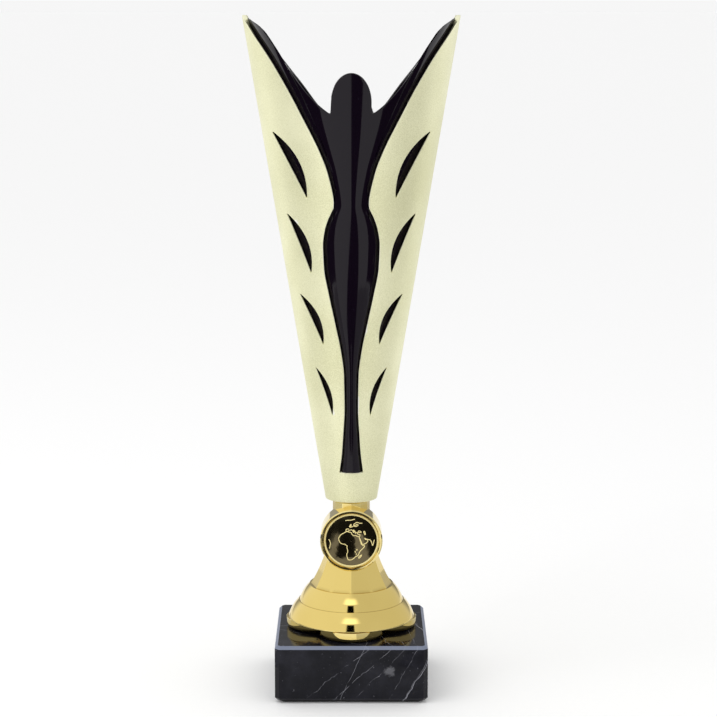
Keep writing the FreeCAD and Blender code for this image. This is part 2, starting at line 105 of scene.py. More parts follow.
# the figure's upper edge: arms (degrees, share), then the head
NOTCH_SHARE = 0.810
ARM_EDGE = [(12.9, NOTCH_SHARE), (17.7, 0.822), (26.8, 0.851), (36.9, 0.896), (45.9, 0.944),
            (52.0, 0.969), (59.8, 0.984), (71.0, 0.994), (TIP_ANGLE, 1.0)]
HEAD_HALF_WIDTH = 8.8 * MM
HEAD_CHIN_SHARE = 0.834
HEAD_DOME_HEIGHT = 12.4 * MM
RELIEF_RISE = 3.2 * MM
RELIEF_SIDE_GAP = 0.2 * MM
RELIEF_SILL_STEP = 0.02 * MM    # the figure starts this far above its sill
RELIEF_SILL_LIP = 0.4 * MM

# the back edge of the cup: degrees from the back, share of the height; it is level in the middle
BACK_EDGE = [(-16.0, 0.785), (0.0, 0.755), (16.0, 0.785), (34.0, 0.860), (52.0, 0.930), (70.0, 0.975),
             (TIP_ANGLE, 1.0)]
BACK_INNER_RISE = 1.5 * MM

# leaf-shaped slots: upper and lower tips (degrees, share), bow of the curved and of the flat side
LEAVES = [
    ((60.1, 0.772), (33.1, 0.639), 4.8 * MM, 0.2 * MM),
    ((56.7, 0.607), (36.5, 0.486), 4.2 * MM, 0.3 * MM),
    ((54.9, 0.442), (30.9, 0.338), 3.8 * MM, 0.3 * MM),
    ((45.5, 0.290), (26.9, 0.188), 3.0 * MM, 0.4 * MM),
]

# --- foot sizes ---
LOBE_RADIUS = 15.4 * MM
LOBE_OFFSET = 15.1 * MM
LOBE_ROUNDING = 2.2 * MM
PLINTH_HEIGHT = 4.8 * MM
LOWER_TIER_RADIUS = 29.5 * MM
LOWER_TIER_HEIGHT = 8.1 * MM
MIDDLE_RADIUS = 24.7 * MM
UPPER_TIER_HEIGHT = 7.6 * MM
UPPER_RADIUS = 19.6 * MM
SKIRT_RADIUS = 18.9 * MM
SKIRT_HEIGHT = 35.0 * MM
SKIRT_CURVE = 2.0
NECK_RADIUS = 8.6 * MM
NECK_RIM_HEIGHT = 1.4 * MM
TIER_BULGE = 0.55 * MM
CREASE_STEP = 0.35 * MM
FACETS = 12
FOOT_WALL = 2.2 * MM
NECK_WEB = 3.0 * MM
STANDING_RIM = 1.6 * MM
STANDING_RADIUS = LOBE_RADIUS - LOBE_ROUNDING
HALF_GAP = LOBE_OFFSET * math.cos(math.pi / 4)
CORE_MIDDLE = HALF_GAP + math.sqrt(STANDING_RADIUS ** 2 - HALF_GAP ** 2) - STANDING_RIM
PLINTH_EDGE = 0.15 * MM
TIER_LIP = 0.3 * MM
COLUMNS_PER_FACET = 16
HOLDER_FRONT = 15.0 * MM
HOLDER_BACK = 1.0 * MM
HOLDER_EDGE = 0.5 * MM
HOLDER_LIP = 1.1 * MM
HOLDER_CORE = 0.4 * MM
RECESS_ROOM = 0.6 * MM
RECESS_DEPTH = 2.4 * MM

CONE_SLOPE = (CUP_RIM_RADIUS - CUP_BOTTOM_RADIUS) / CUP_HEIGHT
CONE_ANGLE = math.atan(CONE_SLOPE)
CONE_STRETCH = 1 / math.cos(CONE_ANGLE)
APEX_Z = CUP_Z - CUP_BOTTOM_RADIUS / CONE_SLOPE
INNER_GAP = OUTER_WALL + NEST_GAP


# ================================================================ shape helpers

def smooth(pairs, at):
    """A smooth curve through (position, value) pairs, by cubic spans with limited slopes."""
    xs = [p[0] for p in pairs]
    ys = [p[1] for p in pairs]
    at = min(max(at, xs[0]), xs[-1])
    steps = [(ys[i + 1] - ys[i]) / (xs[i + 1] - xs[i]) for i in range(len(xs) - 1)]
    slopes = [steps[0]]
    for before, after in zip(steps, steps[1:]):
        slopes.append(0.0 if before * after <= 0 else 2 * before * after / (before + after))
    slopes.append(steps[-1])
    i = max(k for k in range(len(steps)) if xs[k] <= at)
    h = xs[i + 1] - xs[i]
    t = (at - xs[i]) / h
    return (
        ys[i] * (1 + 2 * t) * (1 - t) ** 2
        + slopes[i] * h * t * (1 - t) ** 2
        + ys[i + 1] * t * t * (3 - 2 * t)
        + slopes[i + 1] * h * t * t * (t - 1)
    )


def spread(low, high, count):
    return [low + (high - low) * k / (count - 1) for k in range(count)]


def polar(radius, turn, z):
    """A point at an angle from the front, counted towards +X."""
    return Vector((radius * math.sin(turn), -radius * math.cos(turn), z))


def finish_piece(mesh_or_bm, name, material, replaced=(), sharp=30.0):
    """Makes the object, shades it smooth up to the given angle and fixes it to the body."""
    if isinstance(mesh_or_bm, bmesh.types.BMesh):
        bmesh.ops.recalc_face_normals(mesh_or_bm, faces=mesh_or_bm.faces)
        mesh = bpy.data.meshes.new(name)
        mesh_or_bm.to_mesh(mesh)
        mesh_or_bm.free()
    else:
        mesh = mesh_or_bm
        mesh.name = name
    piece = bpy.data.objects.new(name, mesh)
    bpy.context.scene.collection.objects.link(piece)
    shade(mesh, sharp)
    mesh.materials.clear()
    mesh.materials.append(material)
    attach(piece, "root")
    if replaced:
        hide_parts(*replaced)
    return piece


def shade(mesh, sharp):
    """Smooth shading with sharp edges where faces meet at more than the angle."""
    bm = bmesh.new()
    bm.from_mesh(mesh)
    limit = math.radians(sharp)
    for face in bm.faces:
        face.smooth = True
    for line in bm.edges:
        line.smooth = len(line.link_faces) == 2 and line.calc_face_angle(0.0) < limit
    bm.to_mesh(mesh)
    bm.free()


def closed_grid(columns):
    """A closed surface from closed loops of points, each joined to the next and the last to the first."""
    bm = bmesh.new()
    made = [[bm.verts.new(p) for p in column] for column in columns]
    rows = len(made[0])
    for i, column in enumerate(made):
        following = made[(i + 1) % len(made)]
        for j in range(rows):
            k = (j + 1) % rows
            bm.faces.new((column[j], following[j], following[k], column[k]))
    return bm


def lathe(profile, turns, place=polar):
    """A closed ring from a closed profile of (radius, height) points."""
    return closed_grid([[place(r, 2 * math.pi * k / turns, z) for r, z in profile] for k in range(turns)])


def facing_front(radius, turn, depth):
    """Places a lathe's ring round the emblem's axis, which points to the front."""
    return Vector((radius * math.sin(turn), depth, EMBLEM_Z + radius * math.cos(turn)))


# ================================================================ cup

def cone_radius(z):
    return CUP_BOTTOM_RADIUS + (z - CUP_Z) * CONE_SLOPE


def cup_z(share):
    return CUP_Z + share * CUP_HEIGHT


def window_angle(share):
    return smooth(WINDOW_HALF, share)


def arm_share(angle):
    return smooth(ARM_EDGE, angle)


def back_share(angle):
    return smooth(BACK_EDGE, angle)


def flat_point(angle, z):
    """A point of the cone's outside, rolled out flat: the distance from the apex is kept."""
    slant = (z - APEX_Z) * CONE_STRETCH
    turn = math.radians(angle) * math.sin(CONE_ANGLE)
    return Vector((slant * math.sin(turn), slant * math.cos(turn), 0))


def straight_cut(turn, outer, inner):
    """Openings are cut straight back from the front, so their deeper edges lie at a wider angle."""
    t = abs(turn)
    behind = t > math.pi / 2
    if behind:
        t = math.pi - t
    wide = math.asin(min(outer / inner * math.sin(t), 0.985))
    share = min(max((CUT_FADE_END - math.degrees(t)) / (CUT_FADE_END - CUT_FADE_START), 0.0), 1.0)
    t += max(0.0, wide - t) * share
    return math.copysign(math.pi - t if behind else t, turn)


def wrap(point, sunk):
    """Rolls a flat point back on the cone; sunk is how far it lies inside the surface."""
    slant = math.hypot(point.x, point.y)
    turn = math.atan2(point.x, point.y) / math.sin(CONE_ANGLE)
    radius = slant * math.sin(CONE_ANGLE) - sunk * math.cos(CONE_ANGLE)
    z = min(APEX_Z + slant * math.cos(CONE_ANGLE) + sunk * math.sin(CONE_ANGLE), CUP_TOP)
    return polar(radius, straight_cut(turn, cone_radius(z), radius), z)


def outer_outline():
    """The rolled-out outline of the outer cone, from the middle of the sill round to the back."""
    half = [(a, cup_z(SILL_SHARE)) for a in spread(0.0, window_angle(SILL_SHARE), 6)[1:-1]]
    shares = spread(SILL_SHARE, 1.0, 90)
    half += [(window_angle(s), cup_z(s)) for s in shares]
    half += [(a, CUP_TOP) for a in spread(TIP_ANGLE, SEAM - TIP_ANGLE, 4)[1:-1]]
    half += [(SEAM - a, cup_z(back_share(abs(a)))) for a in spread(TIP_ANGLE, -SEAM_OVERLAP, 60)]
    half += [(a, CUP_Z) for a in spread(SEAM + SEAM_OVERLAP, 0.0, 90)[:-1]]
    other = [(-a, z) for a, z in reversed(half)]
    sill_middle = [(0.0, cup_z(SILL_SHARE))]
    bottom_middle = [(0.0, CUP_Z)]
    return sill_middle + half + bottom_middle + other


def leaf_outline(upper, lower, bow, flat_bow, side, front):
    """One slot's outline as angles and heights, with its two tips blunted."""

    def tip(angle, share):
        z = cup_z(share)
        return Vector((cone_radius(z) * math.sin(math.radians(angle)), z))

    a = tip(*upper)
    b = tip(*lower)
    along = (b - a).normalized()
    inwards = Vector((along.y, -along.x))
    curved = [a.lerp(b, t) + inwards * bow * 4 * t * (1 - t) for t in spread(0.02, 0.98, 26)]
    flat = [a.lerp(b, t) + inwards * flat_bow * 4 * t * (1 - t) for t in spread(0.98, 0.02, 26)]
    outline = []
    for p in curved + flat:
        angle = math.degrees(math.asin(p.x / cone_radius(p.y)))
        outline.append((side * (angle if front > 0 else SEAM - angle), p.y))
    return outline


def add_outline(curve, outline):
    spline = curve.splines.new("POLY")
    spline.points.add(len(outline) - 1)
    for point, (angle, z) in zip(spline.points, outline):
        point.co = (*flat_point(angle, z), 1)
    spline.use_cyclic_u = True


def outer_cone_mesh():
    """The outer cone: a flat sheet with openings and rounded edges, rolled up and closed at the back."""
    curve = bpy.data.curves.new("rolled out cone", "CURVE")
    curve.dimensions = "2D"
    curve.fill_mode = "BOTH"
    curve.extrude = OUTER_WALL / 2 - EDGE_ROUNDING
    curve.bevel_depth = EDGE_ROUNDING
    curve.bevel_resolution = 2
    curve.offset = -EDGE_ROUNDING
    add_outline(curve, outer_outline())
    for shape in LEAVES:
        for side in (1, -1):
            for front in (1, -1):
                add_outline(curve, leaf_outline(*shape, side, front))
    holder = bpy.data.objects.new("rolled out cone", curve)
    bpy.context.scene.collection.objects.link(holder)
    bpy.context.view_layer.update()
    flat = bpy.data.meshes.new_from_object(holder.evaluated_get(bpy.context.evaluated_depsgraph_get()))
    bpy.data.objects.remove(holder)
    bm = bmesh.new()
    bm.from_mesh(flat)
    bmesh.ops.remove_doubles(bm, verts=bm.verts, dist=1e-6)
    ridge = math.sin(CONE_ANGLE)
    for degrees in spread(-SEAM, SEAM, 241):
        turn = math.radians(degrees) * ridge
        across = Vector((math.cos(turn), -math.sin(turn), 0))
        last = abs(degrees) == SEAM
        bmesh.ops.bisect_plane(
            bm, geom=bm.verts[:] + bm.edges[:] + bm.faces[:], dist=1e-7, plane_co=(0, 0, 0),
            plane_no=across, clear_outer=last and degrees > 0, clear_inner=last and degrees < 0,
        )
    for vert in bm.verts:
        vert.co = wrap(vert.co, OUTER_WALL / 2 - vert.co.z)
    bmesh.ops.remove_doubles(bm, verts=bm.verts, dist=2e-6)
    return bm


def outer_floor_ring():
    """The closed bottom of the outer cone, round the rod."""
    low = CUP_Z + 0.02 * MM
    high = CUP_Z + OUTER_FLOOR
    reach_low = cone_radius(low) - OUTER_WALL / 2
    reach_high = cone_radius(high) - OUTER_WALL
    return [(ROD_HOLE, low), (reach_low, low), (reach_high, high), (ROD_HOLE, high)]


def relief_half(z):
    """Half of the figure's width at a height, as an angle."""
    share = max((z - CUP_Z) / CUP_HEIGHT, SILL_SHARE)
    reach = cone_radius(z) * math.sin(math.radians(window_angle(share))) - RELIEF_SIDE_GAP
    return math.asin(reach / cone_radius(z))


def relief_rise(across):
    """How far the figure stands out of the inner cone, across its width from -1 to 1."""
    return RELIEF_RISE * math.sqrt(max(0.0, 1 - across * across))


def front_radius(u, z):
    return cone_radius(z) - INNER_GAP * CONE_STRETCH + relief_rise(u)


def back_radius(u, z):
    return cone_radius(z) - (INNER_GAP + INNER_WALL) * CONE_STRETCH


def inner_turn(u, z):
    """The angle of a column: u from 0 to 1 spans the figure's half width, 1 to 2 the rest to the back."""
    half = relief_half(z)
    side = math.copysign(1.0, u)
    u = abs(u)
    if u <= 1:
        return side * u * half
    return side * (half + (math.pi - half) * (u - 1))


def above_edge(radius, turn, z):
    """Whether a point of the inner cone's wall is above the figure's edge or the back edge."""
    x = radius * math.sin(abs(turn))
    outer_angle = min(math.degrees(math.asin(min(1.0, x / cone_radius(z)))), TIP_ANGLE)
    if abs(turn) > math.pi / 2:
        return z > cup_z(back_share(outer_angle)) + BACK_INNER_RISE
    if x < HEAD_HALF_WIDTH:
        chin = cup_z(HEAD_CHIN_SHARE)
        return z > chin + HEAD_DOME_HEIGHT * math.sqrt(1 - (x / HEAD_HALF_WIDTH) ** 2)
    return z > cup_z(arm_share(outer_angle))


def edge_height(u, radius_at):
    """Where one side of a column of the inner cone meets its upper edge."""
    low = cup_z(0.6)
    high = CUP_TOP
    if not above_edge(radius_at(u, high), inner_turn(u, high), high):
        return high
    for _ in range(40):
        middle = (low + high) / 2
        if above_edge(radius_at(u, middle), inner_turn(u, middle), middle):
            high = middle
        else:
            low = middle
    return low


def figure_columns():
    """Column positions, close together at the figure's rounded sides and round the head."""
    half = [math.sin(math.pi / 2 * t) for t in spread(0.0, 1.0, 64)]
    half[-1] = 0.9995
    back = [1.0] + [1 + t for t in spread(0.0, 1.0, 90)[1:]]
    right = half + back
    return [-u for u in reversed(right[1:])][1:] + right


def inner_cone_mesh():
    """The black cone with the figure in relief, as columns that run up outside and down inside."""
    low = INNER_LOW.z
    floor_top = low + INNER_FLOOR
    out_shift = INNER_GAP * CONE_STRETCH
    in_shift = (INNER_GAP + INNER_WALL) * CONE_STRETCH
    sill = cup_z(SILL_SHARE) + RELIEF_SIDE_GAP
    lip = EDGE_ROUNDING
    columns = []
    for u in figure_columns():
        top = edge_height(u, front_radius)
        back_top = edge_height(u, back_radius)
        heights = spread(low + lip, sill, 4) + [sill + RELIEF_SILL_STEP]
        heights += spread(sill + RELIEF_SILL_LIP, top - lip, 130)
        column = [polar(cone_radius(low) - out_shift - lip, inner_turn(u, low), low)]
        for z in heights:
            rise = relief_rise(u) if z >= sill + RELIEF_SILL_STEP else 0.0
            if z == sill + RELIEF_SILL_STEP:
                rise *= 0.9
            column.append(polar(cone_radius(z) - out_shift + rise, inner_turn(u, z), z))
        rise = relief_rise(u)
        turn = inner_turn(u, top)
        for t in (30, 60, 90):
            a = math.radians(t)
            column.append(polar(cone_radius(top) - out_shift + rise - lip * (1 - math.cos(a)), turn,
                                top - lip + lip * math.sin(a)))
        for t in (90, 60, 30, 0):
            a = math.radians(t)
            column.append(polar(cone_radius(back_top) - in_shift + lip * (1 - math.cos(a)),
                                inner_turn(u, back_top), back_top - lip + lip * math.sin(a)))
        for z in spread(back_top - 3 * lip, floor_top, 60):
            column.append(polar(cone_radius(z) - in_shift, inner_turn(u, z), z))
        turn = inner_turn(u, floor_top)
        for r in spread(cone_radius(floor_top) - in_shift, ROD_HOLE, 4)[1:]:
            column.append(polar(r, turn, floor_top))
        column.append(polar(ROD_HOLE, inner_turn(u, low), low))
        columns.append(column)
    return closed_grid(columns)


# ================================================================ foot

def lobed_radius(turn, lobe):
    """Outline of four overlapping round lobes, at an angle from the front."""
    away = (turn + math.pi / 4) % (math.pi / 2) - math.pi / 4
    inside = lobe ** 2 - (LOBE_OFFSET * math.sin(away)) ** 2
    return LOBE_OFFSET * math.cos(away) + math.sqrt(max(0.0, inside))


def twelve_sided_radius(turn, corner):
    """Outline of a polygon with as many sides as the skirt has facets; corner is its widest radius."""
    step = 2 * math.pi / FACETS
    away = turn % step - step / 2
    return corner * math.cos(step / 2) / math.cos(away)


def skirt_radius(share):
    """The skirt's hollow curve, from its foot at 0 to the neck at 1."""
    return NECK_RADIUS + (SKIRT_RADIUS - NECK_RADIUS) * math.exp(-SKIRT_CURVE * share) * (1 - share ** 2)


def bulged(r1, z1, r2, z2, bulge, count):
    """Points of an arc that swells outwards, from one (radius, height) to another."""
    length = math.hypot(r2 - r1, z2 - z1)
    out_r = (z2 - z1) / length
    out_z = -(r2 - r1) / length
    return [(r1 + (r2 - r1) * t + out_r * bulge * 4 * t * (1 - t),
             z1 + (z2 - z1) * t + out_z * bulge * 4 * t * (1 - t)) for t in spread(0, 1, count)]


def foot_column(turn):
    """The foot's section at an angle: up the lobe, the two tiers and the skirt, then down its inside."""
    low = FOOT_LOW.z
    plinth_top = low + PLINTH_HEIGHT
    middle = plinth_top + LOWER_TIER_HEIGHT
    skirt_z = middle + UPPER_TIER_HEIGHT
    neck_z = skirt_z + SKIRT_HEIGHT
    top = FOOT_HIGH.z
    points = []
    for t in spread(0, 90, 9):
        a = math.radians(t)
        lobe = LOBE_RADIUS - LOBE_ROUNDING * (1 - math.sin(a))
        points.append((lobed_radius(turn, lobe), low + LOBE_ROUNDING * (1 - math.cos(a))))
    points.append((lobed_radius(turn, LOBE_RADIUS), plinth_top - PLINTH_EDGE))
    points.append((lobed_radius(turn, LOBE_RADIUS - PLINTH_EDGE), plinth_top))
    points += [(LOWER_TIER_RADIUS - TIER_LIP, plinth_top), (LOWER_TIER_RADIUS, plinth_top + TIER_LIP)]
    points += bulged(LOWER_TIER_RADIUS, plinth_top + 2 * TIER_LIP, MIDDLE_RADIUS, middle, TIER_BULGE, 18)
    points += bulged(MIDDLE_RADIUS - CREASE_STEP, middle, UPPER_RADIUS, skirt_z, TIER_BULGE, 18)
    for share in spread(0, 1, 26):
        points.append((twelve_sided_radius(turn, skirt_radius(share)), skirt_z + share * SKIRT_HEIGHT))
    rim = top - NECK_RIM_HEIGHT
    for z in spread(neck_z, rim, 4)[1:]:
        points.append((twelve_sided_radius(turn, NECK_RADIUS), z))
    points.append((twelve_sided_radius(turn, NECK_RADIUS - NECK_RIM_HEIGHT), top))
    points.append((ROD_HOLE, top))
    points.append((ROD_HOLE, top - NECK_WEB))
    flat = math.cos(math.pi / FACETS)
    for share in spread(1, 0, 10):
        inside_z = min(skirt_z + share * SKIRT_HEIGHT, top - NECK_WEB)
        points.append((skirt_radius(share) * flat - FOOT_WALL, inside_z))
    core = max(lobed_radius(turn, STANDING_RADIUS - STANDING_RIM), CORE_MIDDLE)
    points.append((min(core, MIDDLE_RADIUS - FOOT_WALL), middle - FOOT_WALL / 2))
    points.append((min(core, LOWER_TIER_RADIUS - FOOT_WALL), plinth_top))
    points.append((min(core, LOWER_TIER_RADIUS - FOOT_WALL), low))
    return [polar(r, turn, z) for r, z in points]


def foot_mesh():
    count = FACETS * COLUMNS_PER_FACET
    return closed_grid([foot_column(2 * math.pi * k / count) for k in range(count)])


def holder_profile():
    """Half section of the emblem's round holder: (radius, depth) with its recess in front."""
    recess = EMBLEM_RADIUS + RECESS_ROOM
    radius = recess + HOLDER_LIP
    front = -HOLDER_FRONT
    e = HOLDER_EDGE
    return [
        (HOLDER_CORE, -HOLDER_BACK), (radius, -HOLDER_BACK), (radius, front + e), (radius - e, front),
        (recess, front), (recess, front + RECESS_DEPTH), (HOLDER_CORE, front + RECESS_DEPTH),
    ]


# ================================================================ node helpers

def add(tree, kind, settings=None, **inputs):
    """Adds a node. Each input is a value, or the socket that feeds it; an underscore stands for a space."""
    node = tree.nodes.new("ShaderNode" + kind)
    for key, value in (settings or {}).items():
        setattr(node, key, value)
    for key, value in inputs.items():
        feed(tree, node.inputs[key.replace("_", " ")], value)
    return node


def feed(tree, socket, value):
    if isinstance(value, bpy.types.NodeSocket):
        tree.links.new(value, socket)
    else:
        socket.default_value = value


def maths(tree, operation, first, second=0.0):
    node = tree.nodes.new("ShaderNodeMath")
    node.operation = operation
    feed(tree, node.inputs[0], first)
    feed(tree, node.inputs[1], second)
    return node.outputs[0]


def ramp(tree, value, low, high, to_low=0.0, to_high=1.0):
    """A soft step from one value to another."""
    node = add(tree, "MapRange", {"interpolation_type": "SMOOTHSTEP"}, Value=value, From_Min=low,
               From_Max=high, To_Min=to_low, To_Max=to_high)
    return node.outputs["Result"]


def blend_colours(tree, share, first, second):
    node = tree.nodes.new("ShaderNodeMix")
    node.data_type = "RGBA"
    feed(tree, node.inputs["Factor"], share)
    feed(tree, node.inputs["A"], first)
    feed(tree, node.inputs["B"], second)
    return node.outputs["Result"]


def noise(tree, vector, scale, detail=3.0, rough=0.55):
    node = add(tree, "TexNoise", Vector=vector, Scale=scale, Detail=detail, Roughness=rough)
    return node.outputs["Fac"]


def new_group(name, inputs, outputs):
    """An empty shader node group. Inputs are (name, kind, default), outputs (name, kind)."""
    group = bpy.data.node_groups.new(name, "ShaderNodeTree")
    for label, kind, default in inputs:
        socket = group.interface.new_socket(label, in_out="INPUT", socket_type="NodeSocket" + kind)
        if default is not None:
            socket.default_value = default
    for label, kind in outputs:
        group.interface.new_socket(label, in_out="OUTPUT", socket_type="NodeSocket" + kind)
    into = group.nodes.new("NodeGroupInput")
    out = group.nodes.new("NodeGroupOutput")
    return group, into.outputs, out.inputs


def place(tree, group, **inputs):
    """Places a node group in a material with its own values."""
    node = tree.nodes.new("ShaderNodeGroup")
    node.node_tree = group
    for key, value in inputs.items():
        feed(tree, node.inputs[key.replace("_", " ")], value)
    return node.outputs


def new_material(name, colour, metallic=0.0, roughness=0.5, coat=0.0, coat_roughness=0.03, ior=1.5):
    """A material whose even values sit on the shader itself. Gives the material, its tree and its shader."""
    material = bpy.data.materials.new(name)
    material.use_nodes = True
    tree = material.node_tree
    shader = tree.nodes["Principled BSDF"]
    shader.inputs["Base Color"].default_value = (*colour, 1)
    shader.inputs["Metallic"].default_value = metallic
    shader.inputs["Roughness"].default_value = roughness
    shader.inputs["IOR"].default_value = ior
    shader.inputs["Coat Weight"].default_value = coat
    shader.inputs["Coat Roughness"].default_value = coat_roughness
    return material, tree, shader


def place_coordinates(tree):
    return add(tree, "TexCoord").outputs["Object"]


def bump(tree, shader, height, distance, strength=1.0):
    node = add(tree, "Bump", Height=height, Distance=distance, Strength=strength)
    tree.links.new(node.outputs["Normal"], shader.inputs["Normal"])


# ================================================================ effects shared by the finishes

def make_smudges():
    """Faint wiping marks and dust: the roughness wanders between a clean and a smudged value."""
    group, given, out = new_group(
        "wiping_smudges",
        [("Vector", "Vector", None), ("Scale", "Float", 60.0), ("Clean", "Float", 0.05),
         ("Smudged", "Float", 0.12)],
        [("Roughness", "Float"), ("Dust", "Float")],
    )
    cloud = noise(group, given["Vector"], given["Scale"], 4.0)
    patches = ramp(group, cloud, 0.42, 0.72)
    feed(group, out["Roughness"], add(group, "MapRange", Value=patches, To_Min=given["Clean"],
                                      To_Max=given["Smudged"]).outputs["Result"])
    specks = noise(group, given["Vector"], maths(group, "MULTIPLY", given["Scale"], 40.0), 1.0)
    feed(group, out["Dust"], ramp(group, specks, 0.72, 0.80))
    return group


def make_scratches():
    """Hair-fine handling scratches, as a height."""
    group, given, out = new_group(
        "handling_scratches",
        [("Vector", "Vector", None), ("Scale", "Float", 300.0), ("Amount", "Float", 0.5)],
        [("Height", "Float")],
    )
    heights = []
    for turn, stretch in ((0.5, 14.0), (-0.9, 9.0)):
        turned = add(group, "Mapping", Vector=given["Vector"], Rotation=(turn, turn * 0.6, turn),
                     Scale=(1.0, stretch, stretch))
        lines = noise(group, turned.outputs["Vector"], given["Scale"], 2.0)
        heights.append(ramp(group, lines, 0.66, 0.72))
    both = maths(group, "MAXIMUM", heights[0], heights[1])
    feed(group, out["Height"], maths(group, "MULTIPLY", both, given["Amount"]))
    return group


def make_grain():
    """The fine tooth of a satin or plated surface: a height, and a wandering tone."""
    group, given, out = new_group(
        "satin_grain",
        [("Vector", "Vector", None), ("Grain", "Float", 3000.0), ("Cloud", "Float", 25.0)],
        [("Height", "Float"), ("Tone", "Float")],
    )
    fine = noise(group, given["Vector"], given["Grain"], 2.0, 0.7)
    wide = noise(group, given["Vector"], given["Cloud"], 2.0)
    feed(group, out["Height"], fine)
    mixed = maths(group, "ADD", maths(group, "MULTIPLY", fine, 0.55), maths(group, "MULTIPLY", wide, 0.45))
    feed(group, out["Tone"], ramp(group, mixed, 0.35, 0.65))
    return group


def make_edge_light_and_crease_shade():
    """Painted light where a moulded piece turns sharply: a painted highlight lightens the edges, painted
    shade darkens the creases.
    """
    group, given, out = new_group(
        "painted_edge_light_and_crease_shade",
        [("Colour", "Color", None), ("Edge Colour", "Color", None), ("Amount", "Float", 0.5),
         ("Crease Colour", "Color", (0.10, 0.05, 0.01, 1)), ("Crease", "Float", 0.0)],
        [("Colour", "Color")],
    )
    pointed = add(group, "NewGeometry").outputs["Pointiness"]
    # painted highlight: sharp edges lightened towards the edge colour
    mask = maths(group, "MULTIPLY", ramp(group, pointed, 0.51, 0.57), given["Amount"])
    edged = blend_colours(group, mask, given["Colour"], given["Edge Colour"])
    # painted shade: creases darkened towards the crease colour
    crease = maths(group, "MULTIPLY", ramp(group, pointed, 0.42, 0.485, 1.0, 0.0), given["Crease"])
    feed(group, out["Colour"], blend_colours(group, crease, edged, given["Crease Colour"]))
    return group


SMUDGES = make_smudges()
SCRATCHES = make_scratches()
GRAIN = make_grain()
EDGE_LIGHT_AND_CREASE_SHADE = make_edge_light_and_crease_shade()


# ================================================================ finishes

def satin_gold():
    """The cup's outside: pale gold with a fine tooth, half metal and half lacquer, with painted highlights
    on its edges.
    """
    material, tree, shader = new_material("satin_pale_gold", (0.86, 0.84, 0.58), 0.38, 0.45)
    at = place_coordinates(tree)
    grain = place(tree, GRAIN, Vector=at, Grain=2600.0, Cloud=18.0)
    tone = blend_colours(tree, grain["Tone"], (0.72, 0.71, 0.42, 1), (0.96, 0.95, 0.66, 1))
    # painted highlight: the moulded edges of the window, the slots and the rim lightened to near-white
    edges = place(tree, EDGE_LIGHT_AND_CREASE_SHADE, Colour=tone, Edge_Colour=(1.0, 1.0, 0.92, 1), Amount=0.9)
    feed(tree, shader.inputs["Base Color"], edges["Colour"])
    smudge = place(tree, SMUDGES, Vector=at, Scale=30.0, Clean=0.42, Smudged=0.50)
    feed(tree, shader.inputs["Roughness"], smudge["Roughness"])
    bump(tree, shader, grain["Height"], 0.02 * MM, 1.0)
    return material


def polished_gold(name, low, high, metallic, clean, smudged):
    """Bright gold between two tones, with painted shade in the creases and painted highlights on the edges.
    """
    material, tree, shader = new_material(name, high, metallic, clean)
    at = place_coordinates(tree)
    smudge = place(tree, SMUDGES, Vector=at, Scale=55.0, Clean=clean, Smudged=smudged)
    feed(tree, shader.inputs["Roughness"], smudge["Roughness"])
    wander = noise(tree, at, 40.0, 2.0)
    tone = blend_colours(tree, wander, (*low, 1), (*high, 1))
    # painted highlight on the edges and painted shade in the creases
    edges = place(tree, EDGE_LIGHT_AND_CREASE_SHADE, Colour=tone, Edge_Colour=(1.0, 0.90, 0.50, 1), Amount=0.4, Crease=0.9)
    feed(tree, shader.inputs["Base Color"], edges["Colour"])
    scratch = place(tree, SCRATCHES, Vector=at, Scale=350.0, Amount=0.6)
    bump(tree, shader, scratch["Height"], 0.004 * MM, 0.3)
    return material


def gloss_black():
    """The figure's black, with a breath of purple, light dust and fine scratches."""
    black = (0.004, 0.0018, 0.0055)
    material, tree, shader = new_material("gloss_black_plastic", black, 0.0, 0.05, ior=1.34)
    at = place_coordinates(tree)
    smudge = place(tree, SMUDGES, Vector=at, Scale=45.0, Clean=0.04, Smudged=0.10)
    feed(tree, shader.inputs["Roughness"], smudge["Roughness"])
    dust = maths(tree, "MULTIPLY", smudge["Dust"], 0.25)
    dusty = blend_colours(tree, dust, (*black, 1), (0.04, 0.04, 0.05, 1))
    feed(tree, shader.inputs["Base Color"], dusty)
    scratch = place(tree, SCRATCHES, Vector=at, Scale=280.0, Amount=0.5)
    bump(tree, shader, scratch["Height"], 0.003 * MM, 0.3)
    return material


def make_vein():
    """One thin sheet of vein through the stone, warped, and broken into stretches."""
    group, given, out = new_group(
        "stone_vein",
        [("Vector", "Vector", None), ("Across", "Vector", None), ("Offset", "Float", 0.0),
         ("Width", "Float", 0.0002), ("Broken", "Float", 0.5)],
        [("Mask", "Float")],
    )
    warp = add(group, "TexNoise", Vector=given["Vector"], Scale=85.0, Detail=4.0, Roughness=0.6)
    shift = add(group, "VectorMath", {"operation": "MULTIPLY_ADD"})
    feed(group, shift.inputs[0], warp.outputs["Color"])
    feed(group, shift.inputs[1], (0.0045, 0.0045, 0.0045))
    feed(group, shift.inputs[2], given["Vector"])
    along = add(group, "VectorMath", {"operation": "DOT_PRODUCT"})
    feed(group, along.inputs[0], shift.outputs[0])
    feed(group, along.inputs[1], given["Across"])
    away = maths(group, "ABSOLUTE", maths(group, "SUBTRACT", along.outputs["Value"], given["Offset"]))
    line = ramp(group, maths(group, "DIVIDE", away, given["Width"]), 0.2, 1.0, 1.0, 0.0)
    gaps = noise(group, given["Vector"], 140.0, 3.0)
    kept = ramp(group, gaps, maths(group, "SUBTRACT", given["Broken"], 0.08),
                maths(group, "ADD", given["Broken"], 0.08))
    feed(group, out["Mask"], maths(group, "MULTIPLY", line, kept))
    return group


